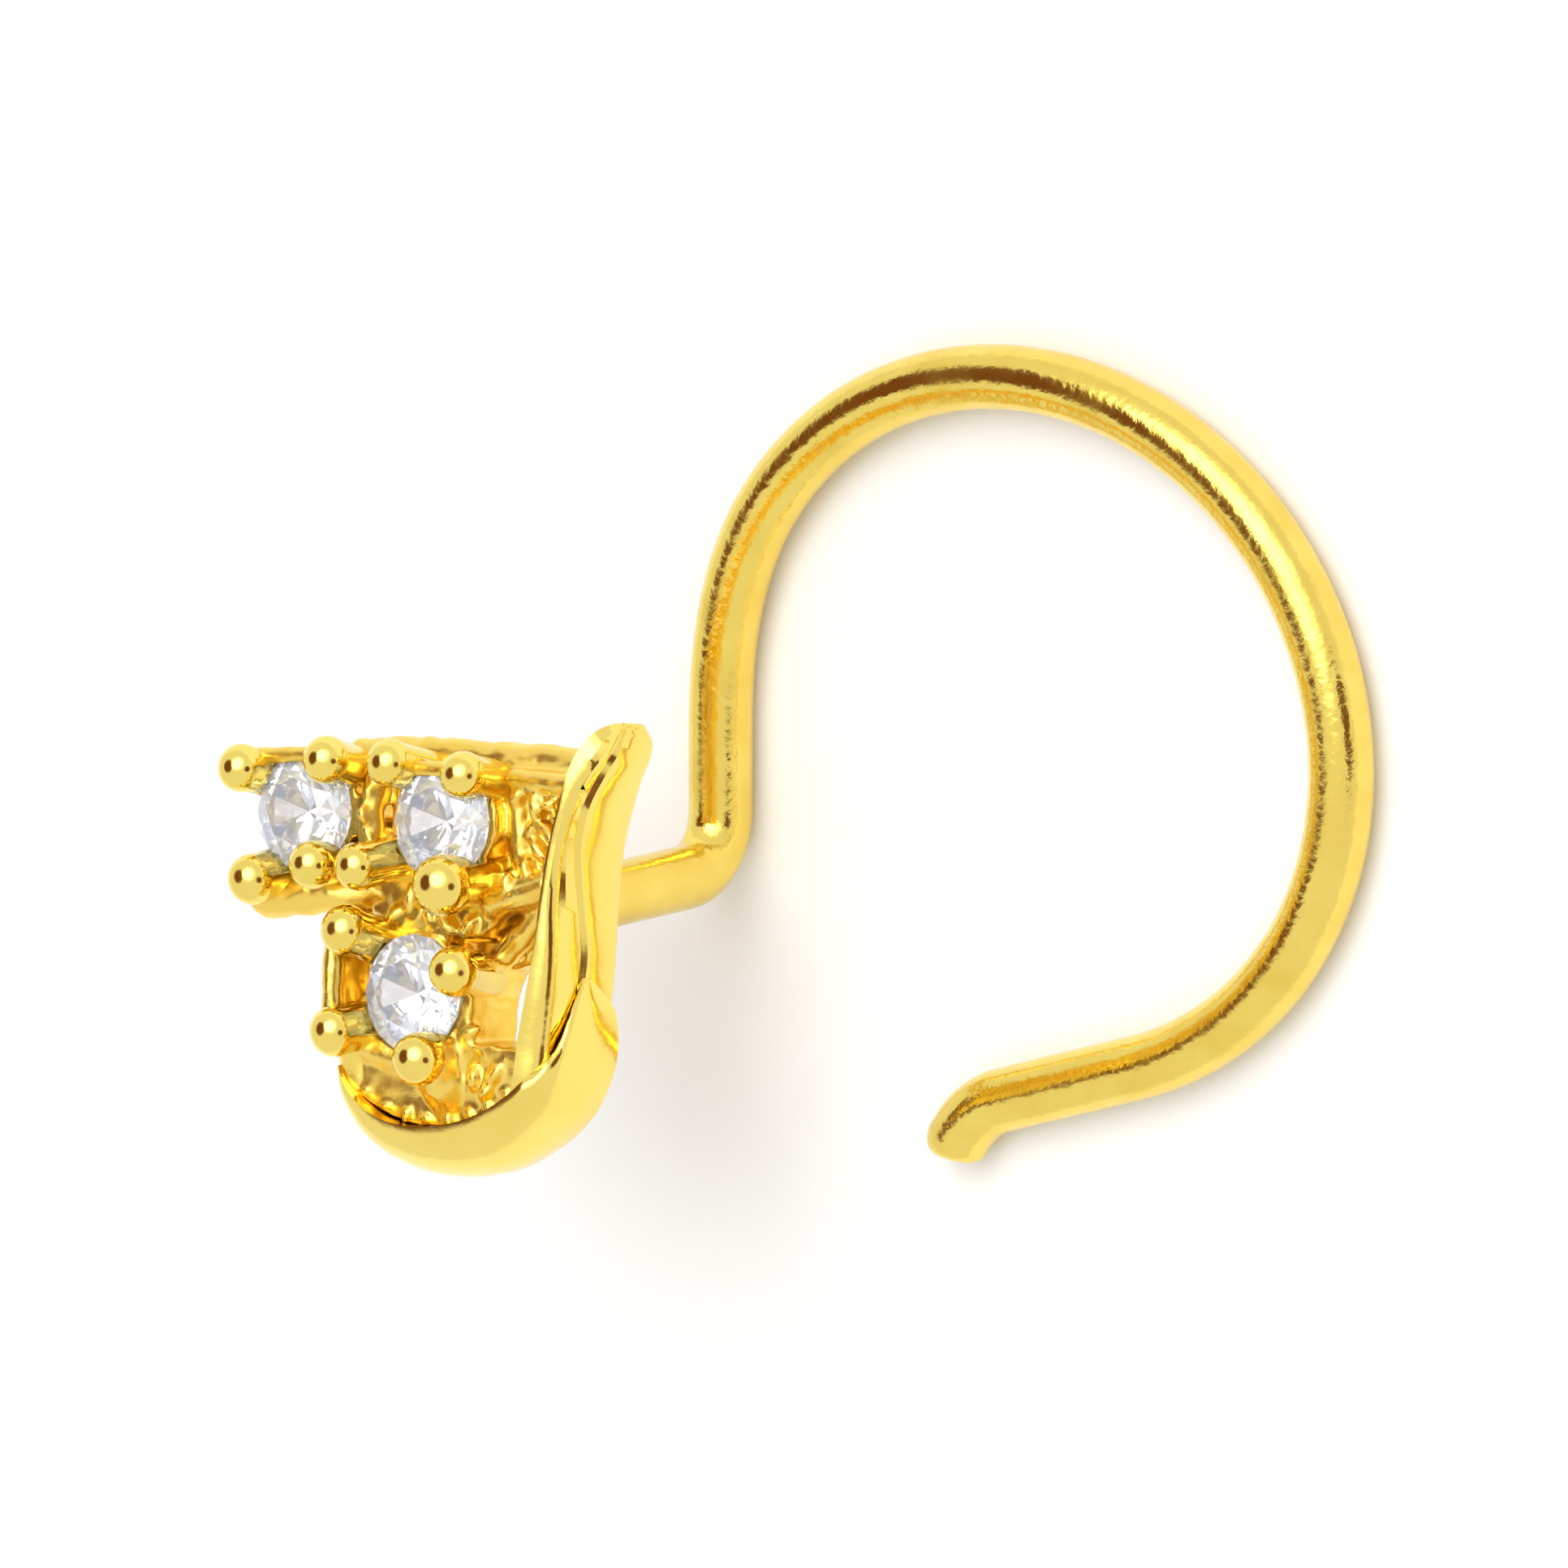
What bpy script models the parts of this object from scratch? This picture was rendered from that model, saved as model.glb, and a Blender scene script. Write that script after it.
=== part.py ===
"""Gold nose pin with three round stones, lying on its hook.

One soldered piece of gold carries three loose stones. The head is a back plate with three claw
settings and a J-shaped leaf; a round wire leaves the plate as a straight post, turns a right
angle and runs round a big loop that ends in a short kicked-out tail. The loop lies flat on the
floor with the head standing over it.

Lengths are metres. The working axes are the post's: x runs across the loop, y up the post's side
of it, z up the post, and the floor is z = 0. The head has a frame of its own, which leans.
"""

import math

import bmesh
import bpy
from mathutils import Matrix, Vector

MM = 0.001

# Hook wire, along its middle line
WIRE_DIAMETER = 0.80 * MM
LOOP_LONG = 9.30 * MM
LOOP_SHORT = 8.54 * MM
LOOP_TURN = math.radians(-18)
LOOP_ACROSS = 4.89 * MM
LOOP_UP = 1.78 * MM
LOOP_START = math.radians(163)
LOOP_END = math.radians(-58)
BEND_RADIUS = 0.75 * MM
RISE_HEADING = math.radians(84)
RISE_LENGTH = 1.10 * MM
TAIL_RUN = 2.10 * MM
TAIL_BEND_RADIUS = 1.20 * MM
TAIL_BEND_ANGLE = math.radians(38)
TAIL_END = 0.35 * MM

# Head. The tables of the head give shares of the leaf's three sizes, from the post's axis.
LEAF_SPAN = 2.50 * MM
LEAF_DEPTH = 1.25 * MM
LEAF_WIDTH = 0.62 * MM
NOSTRIL_GAP = 4.10 * MM
HEAD_LEAN = math.radians(9)
PLATE_THICKNESS = 0.45 * MM
POST_BITE = 0.30 * MM
BACK_STEP = 0.05 * MM

# Stones, round brilliants
STONE_DIAMETER = 1.45 * MM
STONE_GAP = 0.03 * MM
GIRDLE_HEIGHT = 1.08 * MM
GIRDLE_SHARE = 0.03
TABLE_SHARE = 0.56
CROWN_SHARE = 0.15
PAVILION_SHARE = 0.43
STAR_SHARE = 0.80
PAVILION_JOIN_SHARE = 0.30

# Where each stone stands in the head
STONES = (
    # name, across and up as shares of the leaf's span
    ("stone_left", -0.88, 0.528),
    ("stone_upper", -0.02, 0.48),
    ("stone_lower", -0.184, -0.356),
)

# Claws: a round shaft with a ball end
BEAD_DIAMETER = 0.60 * MM
SHAFT_SHARE = 0.96
BEAD_HEIGHT = 1.40 * MM
CLAW_FOOT = 0.22 * MM
COLLAR_DIAMETER = 1.40 * MM
COLLAR_BACK_SHARE = 0.90
COLLAR_WALL = 0.22 * MM
COLLAR_DROP = 0.16 * MM
CLAWS = (
    # stone, angle in degrees, reach as a share of the stone's radius, bead as a share of the size
    ("stone_left", 145, 1.26, 1.00),
    ("stone_left", 46, 1.19, 1.00),
    ("stone_left", -59, 1.06, 1.00),
    ("stone_left", -123, 1.38, 1.06),
    ("stone_upper", 129, 1.24, 1.00),
    ("stone_upper", 44, 1.10, 0.97),
    ("stone_upper", -70, 1.15, 1.28),
    ("stone_upper", -152, 1.64, 1.00),
    ("stone_lower", 137, 1.54, 1.05),
    ("stone_lower", 17, 1.28, 1.05),
    ("stone_lower", -66, 1.20, 1.10),
    ("stone_lower", -154, 1.49, 1.05),
)

# Round bars between the claws, by the points of their middle lines in the head
RAILS = (
    # name, diameter as a share of the bead's, (across, up, height) of each point: across and up
    # as shares of the leaf's span, height of its depth
    ("upper_rail", 0.70, ((-0.70, 0.812, 0.368), (-0.18, 0.816, 0.368), (0.768, 0.744, 0.416))),
    ("lower_rail", 0.90, ((-1.13, 0.11, 0.75), (-0.80, 0.136, 0.68), (-0.40, 0.128, 0.45))),
    ("heel_rail", 0.74, ((-0.572, -0.56, 0.76), (-0.536, -0.78, 0.64))),
)
CLAW_BARS = (
    # name, diameter as a share of the bead's, the two claws by number, share of the way up them,
    # step out from them as a share of the bead's diameter
    ("side_rail", 0.44, 8, 11, 0.80, 0.62),
    ("left_bridge", 0.38, 0, 1, 0.82, 0.22),
    ("upper_bridge", 0.38, 4, 5, 0.82, 0.05),
)

# Solid metal between the settings, standing up from the plate
FILLINGS = (
    # name, bottom and top as shares of the leaf's depth, corners as shares of its span
    ("saddle", 0.14, 0.69, ((-0.52, 0.04), (-0.38, -0.10), (0.16, -0.08), (0.38, 0.10),
                            (0.30, 0.24), (-0.48, 0.22))),
    ("shoulder", 0.18, 0.58, ((0.29, 0.20), (0.74, 0.22), (0.82, 0.74), (0.24, 0.78))),
    ("cheek", 0.10, 0.84, ((0.256, -0.18), (0.17, -0.372), (0.14, -0.62), (0.03, -0.61),
                           (0.06, -0.36), (0.12, -0.15))),
)

# The thin wall that closes the lower setting's free side, between two claws
WEB_CLAWS = (8, 11)
WEB_THICKNESS = 0.20 * MM
WEB_SHARE = 0.80

# Upper blade, bottom to tip: a narrow front strip, a shoulder facet and an upright side wall
STRIP_DROP = 0.10
BLADE = (
    # across, up, width, front, back, strip, shoulder: inner front edge as shares of the span,
    # width of LEAF_WIDTH, front and back of LEAF_DEPTH, strip of the row's width,
    # shoulder of LEAF_DEPTH
    (0.42, -0.90, 0.50, 0.96, 0.00, 0.80, 0.52),
    (0.48, -0.77, 0.55, 0.98, 0.00, 0.80, 0.52),
    (0.512, -0.58, 0.64, 0.99, 0.00, 0.80, 0.52),
    (0.564, -0.35, 0.66, 1.00, 0.00, 0.74, 0.52),
    (0.608, -0.14, 0.56, 1.00, 0.00, 0.62, 0.52),
    (0.64, 0.09, 0.48, 1.00, 0.00, 0.48, 0.44),
    (0.688, 0.35, 0.39, 1.00, 0.00, 0.34, 0.14),
    (0.748, 0.56, 0.37, 1.00, 0.00, 0.30, 0.08),
    (0.796, 0.72, 0.40, 0.98, 0.00, 0.34, 0.07),
    (0.844, 0.83, 0.42, 0.93, 0.00, 0.36, 0.07),
    (0.90, 0.915, 0.32, 0.80, 0.00, 0.36, 0.06),
    (0.968, 0.955, 0.12, 0.60, 0.04, 0.36, 0.04),
)

# Lower crescent, left tip to the point where it laps over the blade: a smooth dome
CRESCENT = (
    # across, up, width, front, back: as above
    (-0.65, -0.71, 0.16, 0.84, 0.44),
    (-0.568, -0.82, 0.53, 0.92, 0.16),
    (-0.42, -0.928, 0.81, 0.98, 0.04),
    (-0.24, -0.988, 0.94, 1.00, 0.00),
    (-0.04, -1.00, 1.00, 1.01, 0.00),
    (0.168, -0.972, 1.00, 1.02, 0.00),
    (0.344, -0.912, 0.90, 1.02, 0.00),
    (0.468, -0.84, 0.80, 1.02, 0.00),
    (0.548, -0.772, 0.70, 1.01, 0.00),
    (0.624, -0.68, 0.54, 0.97, 0.00),
    (0.672, -0.568, 0.42, 0.89, 0.02),
    (0.708, -0.40, 0.28, 0.70, 0.12),
    (0.732, -0.272, 0.08, 0.52, 0.44),
)
DOME_WAIST = 0.30
DOME_FOOT = 0.88

# Skirt: the solid seat between the lower setting and the crescent
SKIRT_HEIGHT = 1.12 * MM
SKIRT_FIRST_ROW = 1
SKIRT_LAST_ROW = 7
PLATE_TOP_ROW = 8
PLATE_LOW_ROW = 4

# Fineness
WIRE_RESOLUTION = 4
ROUND_SIDES = 12
COLLAR_SIDES = 20
STEP_LENGTH = 0.50 * MM
MERGE = 1e-7

GOLD_COLOUR = (0.83, 0.52, 0.10, 1.0)
STONE_COLOUR = (0.88, 0.91, 1.0, 1.0)

WIRE_RADIUS = WIRE_DIAMETER / 2
STONE_RADIUS = STONE_DIAMETER / 2
COLLAR_RADIUS = COLLAR_DIAMETER / 2
HEAD_BACK = WIRE_DIAMETER + NOSTRIL_GAP
HEAD = Matrix.Translation((0, 0, HEAD_BACK)) @ Matrix.Rotation(-HEAD_LEAN, 4, "X")
INTO_HEAD = HEAD.inverted()
HALF_SIDE = Matrix.Rotation(math.pi / COLLAR_SIDES, 4, "Z")
STONE_SPOT = {name: Vector((across, up, 0)) * LEAF_SPAN for name, across, up in STONES}


def clear_scene():
    for old in list(bpy.data.objects):
        bpy.data.objects.remove(old, do_unlink=True)


def principled(name, colour, roughness, metallic):
    material = bpy.data.materials.new(name)
    material.use_nodes = True
    shader = material.node_tree.nodes["Principled BSDF"]
    shader.inputs["Base Color"].default_value = colour
    shader.inputs["Roughness"].default_value = roughness
    shader.inputs["Metallic"].default_value = metallic
    material.diffuse_color = colour
    return material


def add_object(name, bm, place=Matrix.Identity(4)):
    """Closes a bmesh into an object whose mesh already holds its place."""
    bmesh.ops.remove_doubles(bm, verts=bm.verts, dist=MERGE)
    bmesh.ops.transform(bm, matrix=place, verts=bm.verts)
    bmesh.ops.recalc_face_normals(bm, faces=bm.faces)
    mesh = bpy.data.meshes.new(name)
    bm.to_mesh(mesh)
    bm.free()
    thing = bpy.data.objects.new(name, mesh)
    bpy.context.collection.objects.link(thing)
    return thing


# Shapes

def heading(angle):
    return Vector((math.cos(angle), math.sin(angle), 0))


def lathe(profile, sides):
    """Turns a profile of (radius, height) about z; it starts and ends on the axis or is a loop."""
    bm = bmesh.new()
    points = [bm.verts.new((radius, 0, height)) for radius, height in profile]
    edges = [bm.edges.new(pair) for pair in zip(points, points[1:])]
    if profile[0][0] > 0:
        edges.append(bm.edges.new((points[-1], points[0])))
    bmesh.ops.spin(
        bm, geom=points + edges, cent=(0, 0, 0), axis=(0, 0, 1),
        angle=2 * math.pi, steps=sides, use_merge=True, use_duplicate=False,
    )
    return bm


def loft(sections):
    """Skins a row of closed sections that have the same number of points, with flat ends."""
    bm = bmesh.new()
    rings = [[bm.verts.new(point) for point in section] for section in sections]
    for ring, following in zip(rings, rings[1:]):
        for i, point in enumerate(ring):
            bm.faces.new((ring[i - 1], point, following[i], following[i - 1]))
    bm.faces.new(rings[0])
    bm.faces.new(rings[-1])
    return bm


def slab(outline, bottom, top):
    """Stands a flat outline up between two heights."""
    bm = bmesh.new()
    floor = bm.faces.new([bm.verts.new((x, y, bottom)) for x, y in outline])
    risen = bmesh.ops.extrude_face_region(bm, geom=[floor])["geom"]
    bmesh.ops.translate(
        bm, vec=(0, 0, top - bottom), verts=[v for v in risen if isinstance(v, bmesh.types.BMVert)]
    )
    return bm


def tube(name, points, radius, resolution):
    """A round bar along a row of points, its ends cut square."""
    curve = bpy.data.curves.new(name, "CURVE")
    curve.dimensions = "3D"
    curve.bevel_depth = radius
    curve.bevel_resolution = resolution
    curve.use_fill_caps = True
    line = curve.splines.new("POLY")
    line.points.add(len(points) - 1)
    for spot, point in zip(line.points, points):
        spot.co = (*point, 1)
    guide = bpy.data.objects.new(name + "_line", curve)
    bpy.context.collection.objects.link(guide)
    bm = bmesh.new()
    bm.from_mesh(guide.to_mesh())
    guide.to_mesh_clear()
    bpy.data.objects.remove(guide)
    return add_object(name, bm)


def smooth_rows(rows, between):
    """Adds rows between those of a table, on a smooth curve through each column."""
    fine = []
    last = len(rows) - 1
    for i in range(last):
        before, here, after, beyond = (
            rows[max(i - 1, 0)], rows[i], rows[i + 1], rows[min(i + 2, last)]
        )
        for step in range(between):
            t = step / between
            fine.append(tuple(
                0.5 * (2 * b + (c - a) * t + (2 * a - 5 * b + 4 * c - d) * t * t
                       + (3 * b - a - 3 * c + d) * t ** 3)
                for a, b, c, d in zip(before, here, after, beyond)
            ))
    fine.append(tuple(rows[last]))
    return fine


# Hook wire

def wire_line():
    """The wire's middle line, from inside the plate to the end of the tail."""
    level = Vector((0, 0, WIRE_RADIUS))
    rise = heading(RISE_HEADING)
    up = Vector((0, 0, 1))
    points = [Vector((0, 0, HEAD_BACK + POST_BITE))]
    post_length = NOSTRIL_GAP + WIRE_RADIUS - BEND_RADIUS
    post_steps = max(2, round(post_length / (2 * STEP_LENGTH)))
    for i in range(post_steps):
        points.append(level + up * (BEND_RADIUS + post_length * (1 - i / post_steps)))
    for i in range(7):
        angle = math.radians(90 * i / 6)
        points.append(
            level + BEND_RADIUS * (rise * (1 - math.cos(angle)) + up * (1 - math.sin(angle)))
        )

    long_way, short_way = heading(LOOP_TURN), heading(LOOP_TURN + math.pi / 2)
    middle = level + Vector((LOOP_ACROSS, LOOP_UP, 0))

    def on_loop(angle):
        return (middle + long_way * (LOOP_LONG / 2 * math.cos(angle))
                + short_way * (LOOP_SHORT / 2 * math.sin(angle)))

    def along_loop(angle):
        return (long_way * (LOOP_LONG * math.sin(angle))
                - short_way * (LOOP_SHORT * math.cos(angle))).normalized()

    # the easing curve from the straight rise into the loop
    leave, arrive = level + rise * (BEND_RADIUS + RISE_LENGTH), on_loop(LOOP_START)
    pull = (arrive - leave).length / 3
    handles = (leave, leave + rise * pull, arrive - along_loop(LOOP_START) * pull, arrive)
    ease_steps = max(3, round(3 * pull / STEP_LENGTH))
    for i in range(ease_steps):
        t = i / ease_steps
        weights = ((1 - t) ** 3, 3 * t * (1 - t) ** 2, 3 * t * t * (1 - t), t ** 3)
        points.append(sum((w * h for w, h in zip(weights, handles)), Vector()))

    loop_steps = round((LOOP_START - LOOP_END) * LOOP_LONG / 2 / STEP_LENGTH)
    for i in range(loop_steps + 1):
        points.append(on_loop(LOOP_START + (LOOP_END - LOOP_START) * i / loop_steps))

    # the tail: straight on, a bend away from the loop, and a short straight end
    course = math.atan2(along_loop(LOOP_END).y, along_loop(LOOP_END).x)
    bend_steps = 6
    bend_step = TAIL_BEND_RADIUS * TAIL_BEND_ANGLE / bend_steps
    run_steps = max(1, round(TAIL_RUN / STEP_LENGTH))
    moves = [(0.0, TAIL_RUN / run_steps)] * run_steps
    moves += [(TAIL_BEND_ANGLE / bend_steps, bend_step)] * bend_steps
    moves += [(0.0, TAIL_END)]
    spot = points[-1]
    for turn, length in moves:
        course += turn
        spot = spot + heading(course) * length
        points.append(spot)
    return points


# Leaf

def leaf_rows(table, between):
    """Rows of a leaf table as the inner edge point, the way out from it, and the other columns."""
    rows = smooth_rows(table, between)
    edge = [Vector((row[0] * LEAF_SPAN, row[1] * LEAF_SPAN, 0)) for row in rows]
    placed = []
    for i, row in enumerate(rows):
        along = (edge[min(i + 1, len(edge) - 1)] - edge[max(i - 1, 0)]).normalized()
        placed.append((edge[i], Vector((along.y, -along.x, 0)), row[2] * LEAF_WIDTH, row[3:]))
    return placed


def leaf_section(edge, out, profile):
    """A closed section from (outward, height) points, standing on the leaf's inner edge."""
    lift = BACK_STEP / 2
    return [edge + out * outward + Vector((0, 0, lift + height)) for outward, height in profile]


def blade():
    sections = []
    for edge, out, width, (front, back, strip, shoulder) in leaf_rows(BLADE, 2):
        top, foot = front * LEAF_DEPTH, back * LEAF_DEPTH
        shoulder_height = max(top - shoulder * LEAF_DEPTH, (top + foot) / 2)
        strip_height = top + (shoulder_height - top) * STRIP_DROP / max(shoulder, STRIP_DROP)
        sections.append(leaf_section(edge, out, (
            (0, foot), (0, top), (width * strip, strip_height),
            (width, shoulder_height), (width, foot),
        )))
    return loft(sections)


def crescent():
    sections = []
    for edge, out, width, (front, back) in leaf_rows(CRESCENT, 2):
        top, foot = front * LEAF_DEPTH, back * LEAF_DEPTH
        waist = foot + (top - foot) * DOME_WAIST
        profile = [(0, foot)]
        for i in range(6):
            angle = math.radians(90 * i / 5)
            profile.append((width * math.sin(angle), waist + (top - waist) * math.cos(angle)))
        profile.append((width * DOME_FOOT, foot))
        sections.append(leaf_section(edge, out, profile))
    return loft(sections)


# Head

def claw_ends(claw):
    """Where a claw starts on its collar, and where its ball is, in the head's frame."""
    stone, angle, reach, _ = claw
    way = heading(math.radians(angle))
    foot = COLLAR_RADIUS * COLLAR_BACK_SHARE
    start = STONE_SPOT[stone] + way * foot + Vector((0, 0, CLAW_FOOT))
    ball = STONE_SPOT[stone] + way * (reach * STONE_RADIUS) + Vector((0, 0, BEAD_HEIGHT))
    return start, ball


def claw_shape(length, ball):
    """A round shaft up z that ends in a ball whose middle is at the given length."""
    shaft = ball * SHAFT_SHARE
    neck = math.asin(SHAFT_SHARE)
    profile = [(0, 0), (shaft, 0), (ball * math.sin(neck), length - ball * math.cos(neck))]
    for i in range(1, 6):
        angle = neck + (math.pi - neck) * i / 6
        profile.append((ball * math.sin(angle), length - ball * math.cos(angle)))
    profile.append((0, length + ball))
    return lathe(profile, ROUND_SIDES)


def claw(number):
    start, ball = claw_ends(CLAWS[number])
    turn = (ball - start).to_track_quat("Z", "Y").to_matrix().to_4x4()
    shape = claw_shape((ball - start).length, CLAWS[number][3] * BEAD_DIAMETER / 2)
    return add_object(f"claw_{number}", shape, Matrix.Translation(start) @ turn)


def collar(name):
    """The cup that a setting's claws stand on, narrower at the back and open through the middle."""
    bore = COLLAR_RADIUS * COLLAR_BACK_SHARE - COLLAR_WALL
    rim = GIRDLE_HEIGHT - COLLAR_DROP
    profile = ((bore, BACK_STEP), (COLLAR_RADIUS * COLLAR_BACK_SHARE, BACK_STEP),
               (COLLAR_RADIUS, rim), (bore, rim))
    return add_object("collar_" + name, lathe(profile, COLLAR_SIDES),
                      Matrix.Translation(STONE_SPOT[name]))


def bore_cutter(name):
    """A rod down the middle of a collar's wall, which opens the plate behind the stone."""
    reach = COLLAR_RADIUS * COLLAR_BACK_SHARE - COLLAR_WALL / 2
    profile = ((0, -PLATE_THICKNESS), (reach, -PLATE_THICKNESS),
               (reach, 2 * PLATE_THICKNESS), (0, 2 * PLATE_THICKNESS))
    return add_object("bore_" + name, lathe(profile, COLLAR_SIDES),
                      Matrix.Translation(STONE_SPOT[name]) @ HALF_SIDE)


def seat_cutter(name):
    """The stone's own outline with the gap round it, turned: it cuts the seat and the notches."""
    half_girdle = GIRDLE_SHARE * STONE_DIAMETER / 2 + STONE_GAP
    culet = half_girdle + PAVILION_SHARE * STONE_DIAMETER + STONE_GAP
    table = half_girdle + CROWN_SHARE * STONE_DIAMETER + STONE_GAP
    edge = (STONE_RADIUS + STONE_GAP) / math.cos(math.pi / COLLAR_SIDES)
    profile = ((0, -culet), (edge, -half_girdle), (edge, half_girdle),
               (TABLE_SHARE * STONE_RADIUS + STONE_GAP, table), (0, table))
    place = Matrix.Translation(STONE_SPOT[name] + Vector((0, 0, GIRDLE_HEIGHT)))
    return add_object("seat_" + name, lathe(profile, COLLAR_SIDES), place @ HALF_SIDE)


def plate():
    """The flat back plate: a corner at each stone and two on the blade."""
    blade_rows = leaf_rows(BLADE, 1)
    corners = [STONE_SPOT[name] for name in ("stone_left", "stone_lower")]
    for row in (PLATE_LOW_ROW, PLATE_TOP_ROW):
        edge, out, width, _ = blade_rows[row]
        corners.append(edge + out * (width / 2))
    corners.append(STONE_SPOT["stone_upper"])
    return slab([corner.xy for corner in corners], 0, PLATE_THICKNESS)


def rail(name, diameter, line):
    points = [Vector((across * LEAF_SPAN, up * LEAF_SPAN, height * LEAF_DEPTH))
              for across, up, height in line]
    return tube(name, points, diameter * BEAD_DIAMETER / 2, 2)


def claw_bar(name, diameter, first, second, share, step):
    """A bar between two claws of a setting, a little way out from them."""
    claws = (CLAWS[first], CLAWS[second])
    out = sum((heading(math.radians(claw[1])) for claw in claws), Vector()).normalized()
    points = []
    for claw in claws:
        start, ball = claw_ends(claw)
        points.append(start.lerp(ball, share) + out * (step * BEAD_DIAMETER))
    return tube(name, points, diameter * BEAD_DIAMETER / 2, 2)


def filling(name, bottom, top, corners):
    outline = [(across * LEAF_SPAN, up * LEAF_SPAN) for across, up in corners]
    return add_object(name, slab(outline, bottom * LEAF_DEPTH, top * LEAF_DEPTH))


def web():
    """A thin wall that leans out with two claws, from the collar up to the rail between them."""
    sections = []
    for number in WEB_CLAWS:
        start, ball = claw_ends(CLAWS[number])
        out = heading(math.radians(CLAWS[number][1])) * (WEB_THICKNESS / 2)
        top = start.lerp(ball, WEB_SHARE)
        sections.append((start - out, start + out, top + out, top - out))
    return loft(sections)


def skirt():
    """The seat under the lower setting, which runs out into the crescent's wall."""
    rows = leaf_rows(CRESCENT, 1)[SKIRT_FIRST_ROW:SKIRT_LAST_ROW + 1]
    outline = [edge + out * (width / 3) for edge, out, width, _ in rows]
    edge, out, width, _ = leaf_rows(BLADE, 1)[1]
    middle = STONE_SPOT["stone_lower"]
    outline.append(edge + out * (width / 2) + Vector((0, COLLAR_WALL, 0)))
    outline.append(middle + heading(math.radians(-45)) * COLLAR_RADIUS)
    outline.append(middle + heading(math.radians(-135)) * COLLAR_RADIUS)
    return slab([corner.xy for corner in outline], 2 * BACK_STEP, SKIRT_HEIGHT)


def combine(base, tools, operation, name):
    """Joins a group of shapes to the base, or cuts them from it, in one step."""
    group = bpy.data.collections.new(name)
    for tool in tools:
        group.objects.link(tool)
        tool.hide_render = True
        tool.display_type = "WIRE"
    step = base.modifiers.new(name, "BOOLEAN")
    step.operation = operation
    step.solver = "EXACT"
    step.operand_type = "COLLECTION"
    step.collection = group


def gold_body(material):
    """All the gold, soldered into one solid."""
    body = add_object("gold_body", plate())
    body.data.materials.append(material)
    names = [name for name, _, _ in STONES]
    combine(body, [bore_cutter(name) for name in names], "DIFFERENCE", "light_holes")
    joined = [collar(name) for name in names]
    joined += [
        add_object("skirt", skirt()),
        add_object("blade", blade()),
        add_object("crescent", crescent()),
        add_object("web", web()),
    ]
    joined += [rail(*row) for row in RAILS]
    joined += [claw_bar(*row) for row in CLAW_BARS]
    joined += [filling(*row) for row in FILLINGS]
    joined += [claw(number) for number in range(len(CLAWS))]
    line = [INTO_HEAD @ point for point in wire_line()]
    joined.append(tube("hook_wire", line, WIRE_RADIUS, WIRE_RESOLUTION))
    combine(body, joined, "UNION", "soldered_pieces")
    combine(body, [seat_cutter(name) for name in names], "DIFFERENCE", "stone_seats")
    return body


# Stones

def brilliant():
    """A round brilliant: table, 8 stars, 8 kites, 16 + 16 girdle facets and 8 pavilion mains."""
    half_girdle = GIRDLE_SHARE * STONE_DIAMETER / 2
    table_height = half_girdle + CROWN_SHARE * STONE_DIAMETER
    culet_height = -half_girdle - PAVILION_SHARE * STONE_DIAMETER
    table_radius = TABLE_SHARE * STONE_RADIUS
    star_radius, join_radius = STAR_SHARE * STONE_RADIUS, PAVILION_JOIN_SHARE * STONE_RADIUS

    # stars and pavilion joins stand where they leave the kites flat
    eighth = math.cos(math.pi / 8)
    crown_slope = (table_height - half_girdle) / (STONE_RADIUS - table_radius)
    star_height = half_girdle + (STONE_RADIUS - star_radius * eighth) * crown_slope
    join_height = culet_height - (culet_height + half_girdle) * join_radius * eighth / STONE_RADIUS

    bm = bmesh.new()
    rings = (
        # radius, height, points, turn
        (table_radius, table_height, 8, 0.0),
        (star_radius, star_height, 8, math.pi / 8),
        (STONE_RADIUS, half_girdle, 16, 0.0),
        (STONE_RADIUS, -half_girdle, 16, 0.0),
        (join_radius, join_height, 8, math.pi / 8),
    )
    for radius, height, count, turn in rings:
        for i in range(count):
            angle = turn + 2 * math.pi * i / count
            bm.verts.new((radius * math.cos(angle), radius * math.sin(angle), height))
    bm.verts.new((0, 0, culet_height))
    bmesh.ops.convex_hull(bm, input=bm.verts)
    bmesh.ops.dissolve_limit(bm, angle_limit=math.radians(0.5), verts=bm.verts, edges=bm.edges)
    return bm


def stone(name, material):
    place = Matrix.Translation(STONE_SPOT[name] + Vector((0, 0, GIRDLE_HEIGHT)))
    gem = add_object(name, brilliant(), place)
    gem.data.materials.append(material)
    return gem


def stand_at_origin(pieces):
    """Leans the head over and moves the pin so its box stands on the floor, on the origin."""
    bpy.context.view_layer.update()
    depsgraph = bpy.context.evaluated_depsgraph_get()
    spots = []
    for piece in pieces:
        mesh = piece.evaluated_get(depsgraph).to_mesh()
        spots += [HEAD @ vertex.co for vertex in mesh.vertices]
    low = Vector([min(spot[axis] for spot in spots) for axis in range(3)])
    high = Vector([max(spot[axis] for spot in spots) for axis in range(3)])
    shift = Vector((-(low.x + high.x) / 2, -(low.y + high.y) / 2, -low.z))
    root = bpy.data.objects.new("pin_origin", None)
    for thing in bpy.context.collection.objects:
        thing.parent = root
    bpy.context.collection.objects.link(root)
    root.matrix_world = Matrix.Translation(shift) @ HEAD
    return shift


def main():
    clear_scene()
    gold = principled("yellow_gold", GOLD_COLOUR, 0.14, 1.0)
    clear_stone = principled("clear_stone", STONE_COLOUR, 0.02, 0.0)
    pieces = [gold_body(gold)]
    pieces += [stone(name, clear_stone) for name, _, _ in STONES]
    shift = stand_at_origin(pieces)
    print("post axis moved by", [round(c / MM, 4) for c in shift], "mm")


main()
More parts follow.
